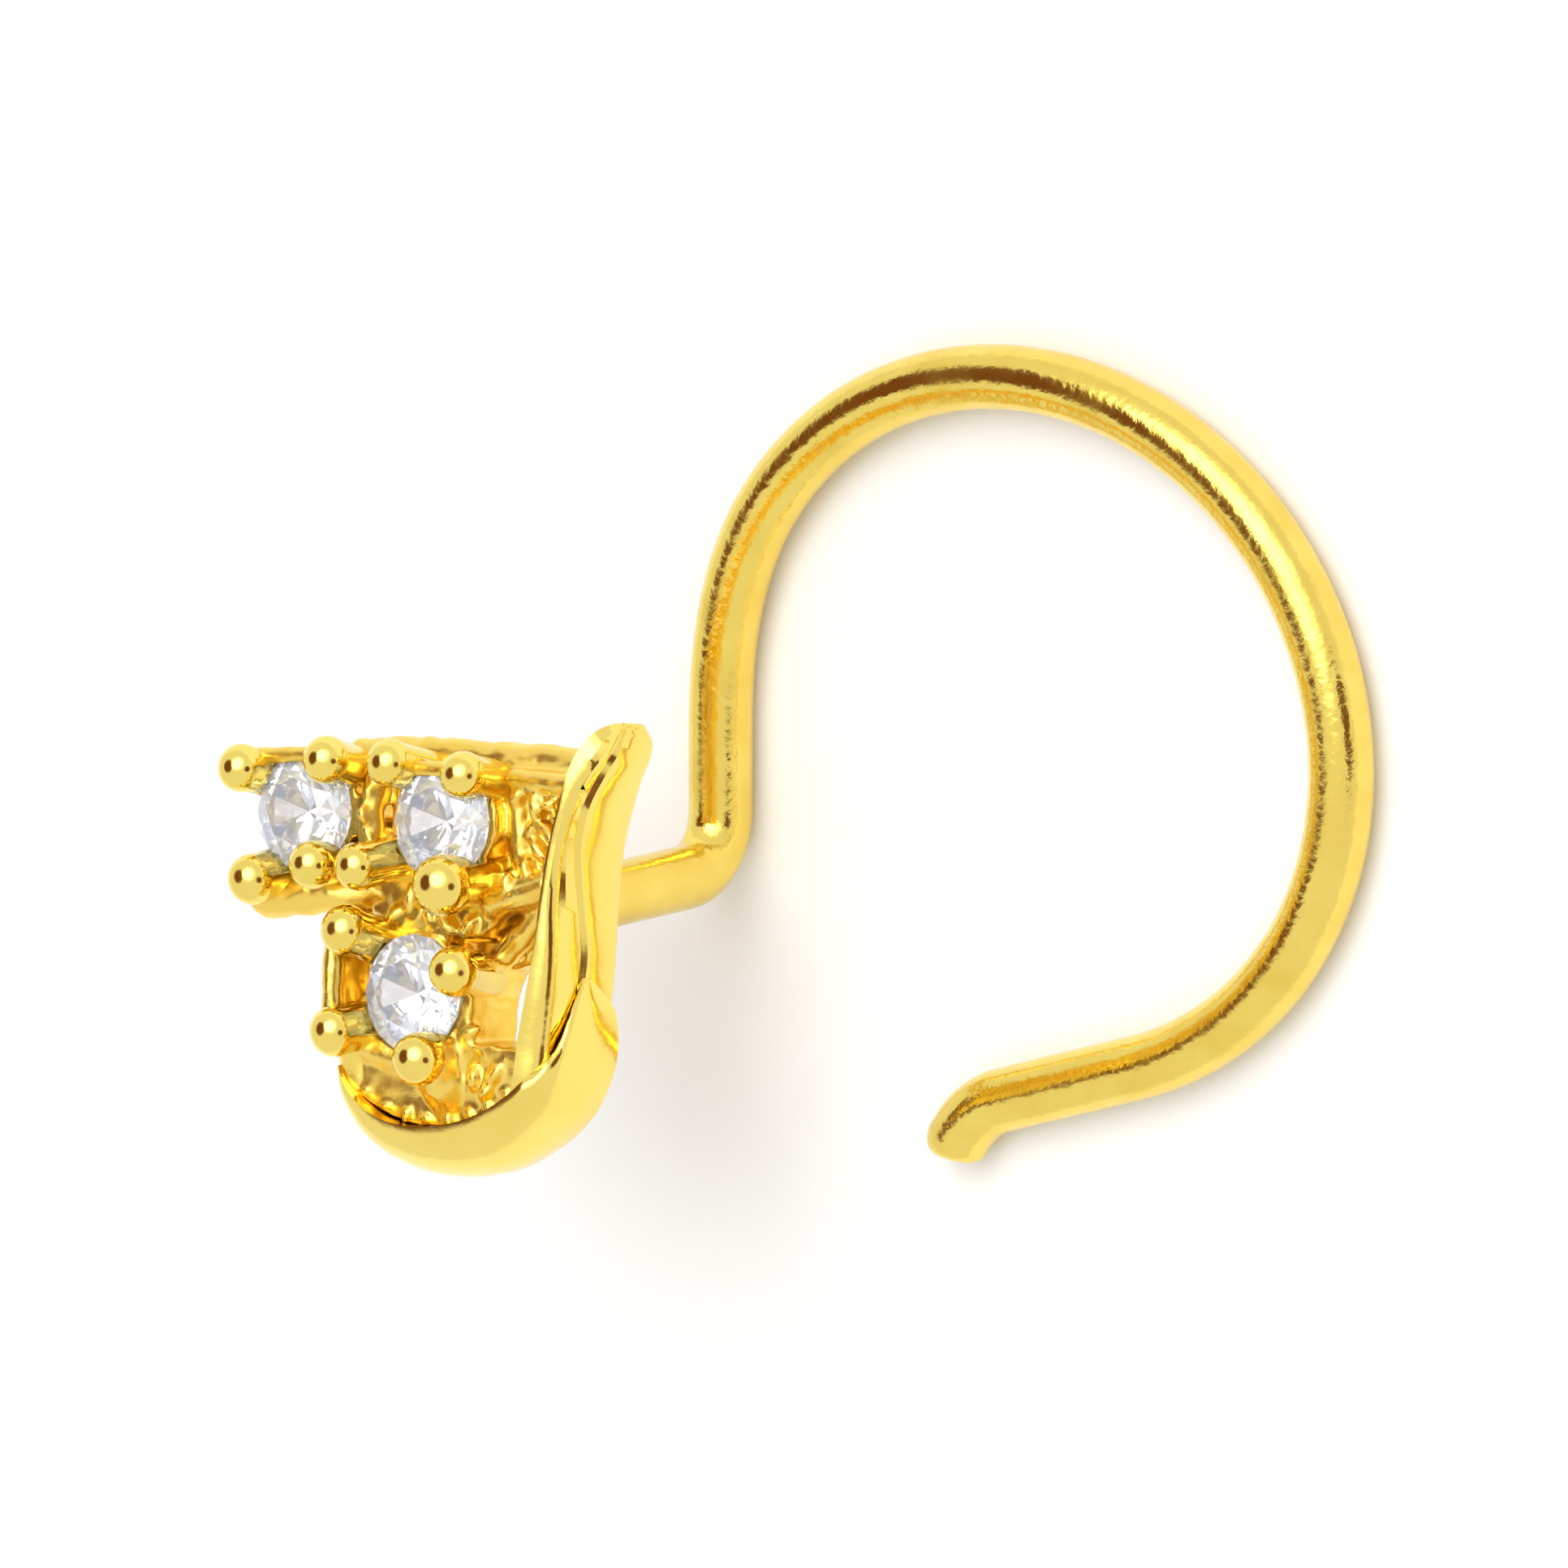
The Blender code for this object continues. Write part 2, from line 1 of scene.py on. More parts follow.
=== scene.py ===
# %% [markdown]
# # A gold nose pin with three stones
#
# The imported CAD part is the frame: it fixes where everything is. This lesson dresses it as cast
# and polished gold. The wire, the leaf, the settings and their ball claws are modelled again with
# finer forms, and the three cut stones keep their CAD shape and get a clear, bright material.

# %% Load the frame
import math

import bmesh
import bpy
from mathutils import Matrix, Vector, noise


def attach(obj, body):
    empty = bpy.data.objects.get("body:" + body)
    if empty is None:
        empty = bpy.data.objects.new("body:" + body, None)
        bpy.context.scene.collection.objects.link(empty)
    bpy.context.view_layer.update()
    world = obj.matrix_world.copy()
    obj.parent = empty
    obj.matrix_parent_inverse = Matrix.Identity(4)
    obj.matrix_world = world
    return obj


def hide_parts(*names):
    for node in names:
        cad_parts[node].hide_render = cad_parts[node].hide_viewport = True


MM = 0.001
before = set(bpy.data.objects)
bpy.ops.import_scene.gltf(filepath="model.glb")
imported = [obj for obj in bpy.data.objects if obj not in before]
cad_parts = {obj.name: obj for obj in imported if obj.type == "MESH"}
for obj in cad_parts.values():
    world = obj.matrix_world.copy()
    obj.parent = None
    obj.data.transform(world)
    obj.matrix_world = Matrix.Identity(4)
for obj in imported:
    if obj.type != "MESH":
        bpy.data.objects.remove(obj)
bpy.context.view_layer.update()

# %% [markdown]
# The pin lies on its loop. Two frames are handy on it. The stand frame has its origin on the
# floor under the post, with the post along Z. The head frame sits at the top of the post, against
# the head's flat back, and leans 9 degrees, as the real head leans on its wire.

# %% Frames of the pin
WIRE_RADIUS = 0.40 * MM
HEAD_BACK = 4.90 * MM
LEAN = math.radians(9)
STAND = Matrix.Translation((-3.3291 * MM, -1.3328 * MM, -0.0022 * MM))
HEAD = STAND @ Matrix.Translation((0, 0, HEAD_BACK)) @ Matrix.Rotation(-LEAN, 4, "X")
print("head's back stands at", [round(c / MM, 2) for c in HEAD.translation], "mm")

# %% [markdown]
# The camera comes first, because every later choice is judged through it. The photograph was
# taken with a long lens, turned 37 degrees from the post, so the wire nearest the camera looks
# only a little thicker. An object's matrix is built from the camera's right, up and back arrows.

# %% Camera
TURN = math.radians(37)
TILT = math.radians(7.8)
right = Vector((math.cos(TURN), -math.sin(TILT) * math.sin(TURN), -math.sin(TURN) * math.cos(TILT)))
up = Vector((0, math.cos(TILT), -math.sin(TILT)))
back = Vector((math.sin(TURN), math.sin(TILT) * math.cos(TURN), math.cos(TURN) * math.cos(TILT)))
corner = STAND @ Vector((0, 0, WIRE_RADIUS))
lens = bpy.data.cameras.new("lens")
lens.sensor_width = 36
lens.lens = 275.8
lens.clip_start = 0.001
lens.clip_end = 10
camera = bpy.data.objects.new("camera", lens)
bpy.context.scene.collection.objects.link(camera)
spot = corner + (0.79 * right + 1.064 * up + 150 * back) * MM
camera.matrix_world = Matrix.Translation(spot) @ Matrix((right, up, back)).transposed().to_4x4()
bpy.context.scene.camera = camera
print("camera stands", round((spot - corner).length / MM), "mm away")

# %% [markdown]
# Gold is a metal with a strong colour of its own, so its material is a metallic shader with a
# warm base colour. Real polished gold is never even: the polish leaves faint cloudy differences
# in gloss and the surface rolls a little. Two noises do that, one for roughness and one for a
# slight bump. A single colour with one roughness would be quicker, but it looks like plastic.

# %% Gold shader
def gold(name, pale, deep, gloss, dull, patch, grain, bump):
    material = bpy.data.materials.new(name)
    material.use_nodes = True
    nodes, links = material.node_tree.nodes, material.node_tree.links
    shader = nodes["Principled BSDF"]
    shader.inputs["Metallic"].default_value = 1.0
    place = nodes.new("ShaderNodeTexCoord")
    clouds = nodes.new("ShaderNodeTexNoise")
    clouds.inputs["Scale"].default_value = 1 / patch
    clouds.inputs["Detail"].default_value = 4.0
    links.new(place.outputs["Object"], clouds.inputs["Vector"])
    tone = nodes.new("ShaderNodeMix")
    tone.data_type = "RGBA"
    tone.inputs[6].default_value = (*pale, 1.0)
    tone.inputs[7].default_value = (*deep, 1.0)
    links.new(clouds.outputs["Fac"], tone.inputs["Factor"])
    links.new(tone.outputs[2], shader.inputs["Base Color"])
    polish = nodes.new("ShaderNodeMapRange")
    polish.inputs["From Min"].default_value = 0.3
    polish.inputs["From Max"].default_value = 0.7
    polish.inputs["To Min"].default_value = gloss
    polish.inputs["To Max"].default_value = dull
    links.new(clouds.outputs["Fac"], polish.inputs["Value"])
    links.new(polish.outputs["Result"], shader.inputs["Roughness"])
    skin = nodes.new("ShaderNodeTexNoise")
    skin.inputs["Scale"].default_value = 1 / grain
    skin.inputs["Detail"].default_value = 3.0
    links.new(place.outputs["Object"], skin.inputs["Vector"])
    relief = nodes.new("ShaderNodeBump")
    relief.inputs["Strength"].default_value = 1.0
    relief.inputs["Distance"].default_value = bump
    links.new(skin.outputs["Fac"], relief.inputs["Height"])
    links.new(relief.outputs["Normal"], shader.inputs["Normal"])
    return material


print("gold shader ready")

# %% [markdown]
# Three finishes come from that one shader. The leaf and the balls were polished, so they are smooth.
# The wire was drawn and only wiped over, so its gloss is patchy and fine grain breaks up the long
# reflections. The casting is the roughest and the deepest in colour, with hardly any mirror in it.

# %% Three gold finishes
polished_gold = gold(
    "polished_gold", pale=(0.95, 0.76, 0.20), deep=(0.86, 0.63, 0.12),
    gloss=0.07, dull=0.16, patch=0.9 * MM, grain=0.35 * MM, bump=0.006 * MM,
)
cast_gold = gold(
    "cast_gold", pale=(0.96, 0.75, 0.19), deep=(0.90, 0.56, 0.07),
    gloss=0.22, dull=0.38, patch=0.5 * MM, grain=0.16 * MM, bump=0.008 * MM,
)
drawn_gold = gold(
    "drawn_gold", pale=(0.94, 0.75, 0.18), deep=(0.80, 0.56, 0.09),
    gloss=0.10, dull=0.24, patch=0.6 * MM, grain=0.13 * MM, bump=0.010 * MM,
)
print("three gold finishes")

# %% [markdown]
# The stones are clear and colourless, cut as round brilliants. Cubic zirconia bends light far
# more than window glass, which is what makes a cut stone flash, so its index is 2.15. The CAD
# facets are already the right ones. Only the material changes, and each face stays flat. The
# material also glows faintly blue: painted light that keeps the stones bright.

# %% Stone material
clear_stone_with_painted_glow = bpy.data.materials.new("clear_stone_with_painted_glow")
clear_stone_with_painted_glow.use_nodes = True
stone_nodes, stone_links = clear_stone_with_painted_glow.node_tree.nodes, clear_stone_with_painted_glow.node_tree.links
stone_shader = stone_nodes["Principled BSDF"]
stone_shader.inputs["IOR"].default_value = 2.15
stone_shader.inputs["Transmission Weight"].default_value = 0.80
stone_shader.inputs["Roughness"].default_value = 0.0
# Painted light: a faint blue emission makes the stones glow a little, as no real stone does.
stone_shader.inputs["Emission Color"].default_value = (0.55, 0.70, 1.0, 1.0)
stone_shader.inputs["Emission Strength"].default_value = 0.04
stone_place = stone_nodes.new("ShaderNodeTexCoord")
stone_clouds = stone_nodes.new("ShaderNodeTexNoise")
stone_clouds.inputs["Scale"].default_value = 1 / (0.5 * MM)
stone_links.new(stone_place.outputs["Object"], stone_clouds.inputs["Vector"])
stone_tint = stone_nodes.new("ShaderNodeMix")
stone_tint.data_type = "RGBA"
stone_tint.inputs[6].default_value = (0.93, 0.95, 1.0, 1.0)
stone_tint.inputs[7].default_value = (0.98, 0.99, 1.0, 1.0)
stone_links.new(stone_clouds.outputs["Fac"], stone_tint.inputs["Factor"])
stone_links.new(stone_tint.outputs[2], stone_shader.inputs["Base Color"])
for name in ("stone_left", "stone_upper", "stone_lower"):
    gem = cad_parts[name]
    gem.data.materials.clear()
    gem.data.materials.append(clear_stone_with_painted_glow)

# %% [markdown]
# The hook is one piece of round wire. Its route is the one the CAD wire takes: down the post,
# round a tight corner, up a short straight rise, round the big oval loop, and out along the kicked
# tail. Its top is sunk a little into the head. A curve with a round bevel could make it, but drawing
# a ring along the route leaves the end free to be shaped, and the real tail is cut at a slant and
# softened.

# %% Route of the wire
SUNK = 0.20 * MM
BEND = 0.75 * MM
LEAVE = 1.10 * MM
RISE = math.radians(84)
LOOP_TURN = math.radians(-18)
LOOP_MIDDLE = Vector((4.89, 1.78, 0.40)) * MM
LOOP_LONG, LOOP_SHORT = 4.65 * MM, 4.27 * MM
LOOP_START, LOOP_END = math.radians(163), math.radians(-58)
STRAIGHT_STEP = 0.28 * MM
TAIL_STEP, KICK_STEP, END_STEP = 0.21 * MM, 0.0796 * MM, 0.025 * MM
KICK = math.radians(38)


def heading(angle):
    return Vector((math.cos(angle), math.sin(angle), 0))


def on_loop(angle):
    return (LOOP_MIDDLE + heading(LOOP_TURN) * (LOOP_LONG * math.cos(angle))
            + heading(LOOP_TURN + math.pi / 2) * (LOOP_SHORT * math.sin(angle)))


def along_loop(angle):
    return (heading(LOOP_TURN) * (LOOP_LONG * math.sin(angle))
            - heading(LOOP_TURN + math.pi / 2) * (LOOP_SHORT * math.cos(angle))).normalized()


def wire_route():
    level = Vector((0, 0, WIRE_RADIUS))
    rise, z = heading(RISE), Vector((0, 0, 1))
    top = HEAD_BACK - WIRE_RADIUS + SUNK
    points = [level + z * (top - i * STRAIGHT_STEP) for i in range(14)]
    for i in range(13):
        angle = math.radians(7.5 * i)
        points.append(level + BEND * (rise * (1 - math.cos(angle)) + z * (1 - math.sin(angle))))
    leave, arrive = level + rise * (BEND + LEAVE), on_loop(LOOP_START)
    points += [level + rise * (BEND + STRAIGHT_STEP * i) for i in range(1, 4)]
    reach = (arrive - leave).length / 3
    hold = (leave, leave + rise * reach, arrive - along_loop(LOOP_START) * reach, arrive)
    for i in range(12):
        t = i / 12
        weights = ((1 - t) ** 3, 3 * t * (1 - t) ** 2, 3 * t * t * (1 - t), t ** 3)
        points.append(sum((w * h for w, h in zip(weights, hold)), Vector()))
    steps = 84
    points += [on_loop(LOOP_START + (LOOP_END - LOOP_START) * i / steps) for i in range(steps + 1)]
    course = math.atan2(along_loop(LOOP_END).y, along_loop(LOOP_END).x)
    moves = [(0.0, TAIL_STEP)] * 10 + [(KICK / 10, KICK_STEP)] * 10 + [(0.0, END_STEP)] * 14
    for turn, length in moves:
        course += turn
        points.append(points[-1] + heading(course) * length)
    return points


route = wire_route()
print("wire is", round(sum((b - a).length for a, b in zip(route, route[1:])) / MM, 1), "mm long")

# %% [markdown]
# Two helpers shape most of the gold. Drawing metal out is the jeweller's own move, so `pull` extrudes
# a ring of edges and sets each new point on its target, which lets a section change shape as it goes.
# `finish_piece` makes a bmesh an object: it merges doubled points, turns the faces outwards, marks
# the sharp edges, says which body the piece rides on, and hides the CAD gold body.

# %% Drawing out and finishing
CLOSE = 1e-8
CREASE = math.radians(30)


def finish_piece(name, bm, material):
    bmesh.ops.remove_doubles(bm, verts=bm.verts, dist=CLOSE)
    bmesh.ops.recalc_face_normals(bm, faces=bm.faces)
    for face in bm.faces:
        face.smooth = True
    for edge in bm.edges:
        edge.smooth = edge.calc_face_angle(0) < CREASE
    mesh = bpy.data.meshes.new(name)
    bm.to_mesh(mesh)
    bm.free()
    mesh.materials.append(material)
    thing = bpy.data.objects.new(name, mesh)
    bpy.context.scene.collection.objects.link(thing)
    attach(thing, "root")
    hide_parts("gold_body")
    print(f"{name}: {len(mesh.polygons)} faces")
    return thing


def ring_of(bm, points):
    verts = [bm.verts.new(point) for point in points]
    for i, vert in enumerate(verts):
        bm.edges.new((verts[i - 1], vert))
    return verts


def pull(bm, ring, targets):
    edges = [bm.edges.get((ring[i - 1], vert)) for i, vert in enumerate(ring)]
    new = bmesh.ops.extrude_edge_only(bm, edges=edges)["geom"]
    at = {v.co.to_tuple(): v for v in new if isinstance(v, bmesh.types.BMVert)}
    drawn = [at[vert.co.to_tuple()] for vert in ring]
    for vert, target in zip(drawn, targets):
        vert.co = target
    return drawn


def draw_bar(sections):
    """A closed bar through a row of sections, each a ring of the same number of points."""
    bm = bmesh.new()
    ring = ring_of(bm, sections[0])
    bm.faces.new(ring)
    for section in sections[1:]:
        ring = pull(bm, ring, section)
    bm.faces.new(ring)
    return bm


print("pieces are merged within", CLOSE / MM, "mm")

# %% [markdown]
# The ring keeps its twist steady by carrying one side arrow along the route and straightening it
# at every step. The wire was worked by hand, so its radius wavers by a hundredth. At the tail the
# last rings lean over and draw in along a quarter circle, which makes the slanted, softened cut.

# %% Hook wire
SIDES = 40
SLANT, SLANT_LONG = 0.36, 0.28 * MM
DRAWN_IN, ROUND_LONG = 0.62, 0.30 * MM
WAVER, WAVER_LONG = 0.012, 1.3 * MM


def wire_rings(points):
    side = Vector((1, 0, 0))
    rings = []
    for i, point in enumerate(points):
        along = (points[min(i + 1, len(points) - 1)] - points[max(i - 1, 0)]).normalized()
        side = (side - along * side.dot(along)).normalized()
        over = along.cross(side)
        waver = 1 + WAVER * noise.noise(point / WAVER_LONG)
        left = (len(points) - 1 - i) * END_STEP
        slant = SLANT * max(0.0, 1 - left / SLANT_LONG)
        soft = 1 - DRAWN_IN * (1 - math.sqrt(1 - max(0.0, 1 - left / ROUND_LONG) ** 2))
        ring = []
        for k in range(SIDES):
            angle = 2 * math.pi * k / SIDES
            out = side * math.cos(angle) + over * math.sin(angle)
            lean = along * (slant * out.y * WIRE_RADIUS)
            ring.append(STAND @ (point + out * (WIRE_RADIUS * waver * soft) + lean))
        rings.append(ring)
    return rings


finish_piece("hook_wire", draw_bar(wire_rings(route)), drawn_gold)

# %% [markdown]
# The leaf is the J on the right of the head. On the real pin it is two carved forms. The upper
# blade has a narrow bright strip along its front, then a small step, a shoulder facet, and an
# upright side. The lower crescent is a smooth dome that laps over the blade with a pointed end.
# Each is drawn as a bar through sections that stand on the leaf's inner edge. Each row of a table
# is one section: where the edge is, how wide the bar is there, and how its facets lie. Places are
# shares of SPAN, widths of WIDTH and heights of DEPTH. `smooth_rows` puts a curve through the rows,
# so few of them are enough.

# %% Leaf tables
SPAN, DEPTH, WIDTH = 2.50 * MM, 1.25 * MM, 0.62 * MM
LIFT = 0.025 * MM
BLADE = (
    # across, up, width, front, back, first and second crease in mm across the view
    (0.42, -0.90, 0.50, 0.96, 0.00, 0.36, 0.70),
    (0.48, -0.77, 0.55, 0.98, 0.00, 0.36, 0.70),
    (0.512, -0.58, 0.64, 0.99, 0.00, 0.35, 0.70),
    (0.564, -0.35, 0.66, 1.00, 0.00, 0.31, 0.68),
    (0.608, -0.14, 0.56, 1.00, 0.00, 0.255, 0.65),
    (0.64, 0.09, 0.48, 1.00, 0.00, 0.195, 0.54),
    (0.688, 0.35, 0.39, 1.00, 0.00, 0.16, 0.40),
    (0.748, 0.56, 0.37, 1.00, 0.00, 0.19, 0.37),
    (0.796, 0.72, 0.40, 0.98, 0.00, 0.28, 0.44),
    (0.844, 0.83, 0.42, 0.93, 0.00, 0.33, 0.46),
    (0.895, 0.912, 0.32, 0.82, 0.02, 0.28, 0.40),
    (0.938, 0.948, 0.20, 0.70, 0.12, 0.18, 0.28),
    (0.966, 0.957, 0.08, 0.56, 0.28, 0.08, 0.14),
)
CRESCENT = (
    # across, up, width, front, back, inner edge: its height, as a share of the depth
    (-0.65, -0.71, 0.16, 0.84, 0.44, 0.84),
    (-0.568, -0.82, 0.53, 0.92, 0.16, 0.92),
    (-0.42, -0.928, 0.81, 0.98, 0.04, 0.98),
    (-0.24, -0.988, 0.94, 1.00, 0.00, 1.00),
    (-0.04, -1.00, 1.00, 1.01, 0.00, 1.01),
    (0.168, -0.972, 1.00, 1.02, 0.00, 1.02),
    (0.344, -0.912, 0.90, 1.02, 0.00, 1.02),
    (0.468, -0.84, 0.80, 1.02, 0.00, 1.01),
    (0.548, -0.772, 0.70, 1.01, 0.00, 0.98),
    (0.624, -0.68, 0.54, 0.97, 0.00, 0.84),
    (0.672, -0.568, 0.42, 0.87, 0.02, 0.64),
    (0.708, -0.40, 0.28, 0.70, 0.12, 0.60),
    (0.732, -0.272, 0.08, 0.52, 0.44, 0.50),
)


def smooth_rows(rows, between):
    fine = []
    last = len(rows) - 1
    for i in range(last):
        a, b, c, d = rows[max(i - 1, 0)], rows[i], rows[i + 1], rows[min(i + 2, last)]
        for step in range(between):
            t = step / between
            fine.append([
                0.5 * (2 * q + (r - p) * t + (2 * p - 5 * q + 4 * r - s) * t * t
                       + (3 * q - p - 3 * r + s) * t ** 3)
                for p, q, r, s in zip(a, b, c, d)
            ])
    fine.append(list(rows[last]))
    return fine


def leaf_rows(table, between):
    rows = smooth_rows(table, between)
    edge = [Vector((row[0] * SPAN, row[1] * SPAN, 0)) for row in rows]
    placed = []
    for i, row in enumerate(rows):
        along = (edge[min(i + 1, len(edge) - 1)] - edge[max(i - 1, 0)]).normalized()
        placed.append((edge[i], Vector((along.y, -along.x, 0)), row[2] * WIDTH, row[3:]))
    return placed


def stand_up(edge, out, profile):
    return [HEAD @ (edge + out * o + Vector((0, 0, LIFT + h))) for o, h in profile]


print(len(BLADE), "sections in the blade and", len(CRESCENT), "in the crescent")

# %% [markdown]
# Seen from the lens, the blade has two fine creases running its whole length. They divide it into
# a narrow rounded strip, a flat band, and the broad side. On the real leaf they were filed in. The
# table says how far each crease lies from the blade's inner edge as the lens sees it, so a small
# function turns that distance into a spot on the front or, past the corner, on the side. The front
# slopes away from the stones, as the real one does, which keeps it bright.

# %% Leaf blade
ACROSS, INWARD = math.cos(TURN), math.sin(TURN)
SLOPE = 0.42
FINE = 0.034 * MM


def blade_spot(distance, inset, width, top, foot):
    on_front = (ACROSS + SLOPE * INWARD) * width
    if distance < on_front:
        over = distance / (ACROSS + SLOPE * INWARD)
        return over, top - inset - SLOPE * over
    drop = (distance - on_front) / INWARD + SLOPE * width
    return width - inset, max(top - drop, foot + 0.1 * (top - foot))


def blade_sections():
    sections = []
    for edge, out, width, (front, back, first, second) in leaf_rows(BLADE, 7):
        top, foot = front * DEPTH, back * DEPTH
        first, second = first * MM, second * MM
        fine = min(FINE, first * 0.2)
        marks = (
            (0.3 * fine, 0.2 * fine), (first * 0.3, -0.2 * fine), (first * 0.62, -0.2 * fine),
            (first - fine, 0.7 * fine),
            (first, 2.4 * fine), (first + 0.8 * fine, 1.4 * fine),
            ((first + second) / 2, 1.1 * fine), (second - fine, 1.1 * fine),
            (second, 2.2 * fine), (second + fine, 0.6 * fine), (second + 3 * fine, 0.0),
        )
        profile = [(0, foot), (0, foot + (top - foot) * 0.5), (0, top - fine)]
        profile += [blade_spot(at, inset, width, top, foot) for at, inset in marks]
        profile += [(width, foot + (top - foot) * 0.06), (width - fine, foot)]
        sections.append(stand_up(edge, out, profile))
    return sections


finish_piece("leaf_blade", draw_bar(blade_sections()), polished_gold)

# %% [markdown]
# The crescent is the bowl of the J: a plain dome with no crease, fullest in the middle and running
# out in a point at both ends. A sphere cut to shape would have the wrong curve, so each section is a
# quarter round instead. At its right end the inner edge falls away, which is the dark line where
# the crescent laps over the blade.

# %% Leaf crescent
def crescent_sections():
    sections = []
    for edge, out, width, (front, back, brim) in leaf_rows(CRESCENT, 7):
        top, foot = front * DEPTH, back * DEPTH
        waist = foot + (top - foot) * 0.30
        profile = [(0, foot), (0, foot * 0.4 + brim * DEPTH * 0.6)]
        for i in range(13):
            angle = math.radians(90 * i / 12)
            fall = (top - brim * DEPTH) * max(0.0, 1 - math.sin(angle) / 0.6) ** 2
            height = waist + (top - waist) * math.cos(angle) - fall
            profile.append((width * math.sin(angle), height))
        profile += [(width * 0.97, (waist + foot) / 2), (width * 0.88, foot)]
        sections.append(stand_up(edge, out, profile))
    return sections


finish_piece("leaf_crescent", draw_bar(crescent_sections()), polished_gold)

# %% [markdown]
# Each stone sits in a cup whose four claws end in balls, raised and rounded over the stone's
# edge with a beading tool. A claw is a profile spun round its own axis: a shaft, a slight neck,
# and a ball. It is then tipped from the foot of the cup to its place over the stone.

# %% Places of the stones and claws
STONES = {
    "stone_left": Vector((-2.20, 1.32, 0)) * MM,
    "stone_upper": Vector((-0.05, 1.20, 0)) * MM,
    "stone_lower": Vector((-0.46, -0.89, 0)) * MM,
}
STONE_RADIUS = 0.725 * MM
GIRDLE = 1.08 * MM
CUP, CUP_BACK, CUP_WALL = 0.70 * MM, 0.63 * MM, 0.22 * MM
CLAW_FOOT = 0.22 * MM
BEAD, BEAD_UP = 0.30 * MM, 1.40 * MM
CLAWS = (
    # stone, angle, reach from its middle in radii, size of the ball
    ("stone_left", 145, 1.26, 1.00),
    ("stone_left", 46, 1.19, 1.00),
    ("stone_left", -59, 1.06, 1.00),
    ("stone_left", -123, 1.38, 1.06),
    ("stone_upper", 129, 1.24, 1.00),
    ("stone_upper", 44, 1.10, 0.97),
    ("stone_upper", -70, 1.15, 1.28),
    ("stone_upper", -152, 1.64, 1.00),
    ("stone_lower", 137, 1.54, 1.05),
    ("stone_lower", 17, 1.28, 1.05),
    ("stone_lower", -66, 1.20, 1.10),
    ("stone_lower", -154, 1.49, 1.05),
)
print(len(CLAWS), "claws round", len(STONES), "stones")

# %% [markdown]
# The claw's profile is half of its outline. Spin carries it round the axis, so shaft, neck and ball
# are one skin, where a cylinder and a sphere put together would leave a hard line at the neck. The
# ball is a little flatter than a sphere, as the beading tool leaves it.

# %% Claw beads
def spun(profile, sides):
    bm = bmesh.new()
    verts = [bm.verts.new((radius, 0, height)) for radius, height in profile]
    edges = [bm.edges.new(pair) for pair in zip(verts, verts[1:])]
    if profile[0][0] > 0:
        edges.append(bm.edges.new((verts[-1], verts[0])))
    bmesh.ops.spin(
        bm, geom=verts + edges, cent=(0, 0, 0), axis=(0, 0, 1), angle=2 * math.pi,
        steps=sides, use_merge=True, use_duplicate=False,
    )
    bmesh.ops.remove_doubles(bm, verts=bm.verts, dist=CLOSE)
    return bm


def claw(stone, angle, reach, size):
    way = heading(math.radians(angle))
    foot = STONES[stone] + way * CUP_BACK + Vector((0, 0, CLAW_FOOT))
    ball = STONES[stone] + way * (reach * STONE_RADIUS) + Vector((0, 0, BEAD_UP))
    length, radius = (ball - foot).length, size * BEAD
    profile = [(0, 0), (radius * 0.90, 0)]
    profile += [(radius * 0.96, length * t) for t in (0.25, 0.5)]
    profile.append((radius * 0.94, length - radius * 0.45))
    for i in range(15):
        bend = math.radians(78) + math.radians(102) * i / 14
        profile.append((radius * math.sin(bend), length - radius * math.cos(bend) * 0.94))
    profile[-1] = (0, length + radius * 0.94)
    bm = spun(profile, 28)
    turn = (ball - foot).to_track_quat("Z", "Y").to_matrix().to_4x4()
    bmesh.ops.transform(bm, matrix=HEAD @ Matrix.Translation(foot) @ turn, verts=bm.verts)
    return bm


def gather(parts):
    whole = bmesh.new()
    for part in parts:
        mesh = bpy.data.meshes.new("part")
        part.to_mesh(mesh)
        part.free()
        whole.from_mesh(mesh)
        bpy.data.meshes.remove(mesh)
    return whole


claws = gather([claw(*row) for row in CLAWS])
claw_beads = finish_piece("claw_beads", claws, polished_gold)

# %% [markdown]
# Between and behind the claws the casting is one lump of metal: the back plate, the cups, the
# rails that join the claws, the seat above the crescent, and a nuggety filling beside the stones.
# Modelled one by one they would meet in hard lines, so they are first made as rough forms and
# melted into one skin later on. The broad forms are slabs: an outline drawn in mm, and extruded
# from a low to a high face. The seat's top slopes down to the crescent.

# %% Plate, seat and fillings
SEAT_FOOT, SEAT_TOP, SEAT_FALL, SEAT_EDGE = 0.10, 1.10, 0.17, -1.46


def slab(outline, low, high):
    bm = bmesh.new()
    floor = bm.faces.new([bm.verts.new((x * MM, y * MM, low * MM)) for x, y in outline])
    risen = bmesh.ops.extrude_face_region(bm, geom=[floor])["geom"]
    verts = [v for v in risen if isinstance(v, bmesh.types.BMVert)]
    bmesh.ops.translate(bm, vec=(0, 0, (high - low) * MM), verts=verts)
    bmesh.ops.recalc_face_normals(bm, faces=bm.faces)
    return bm


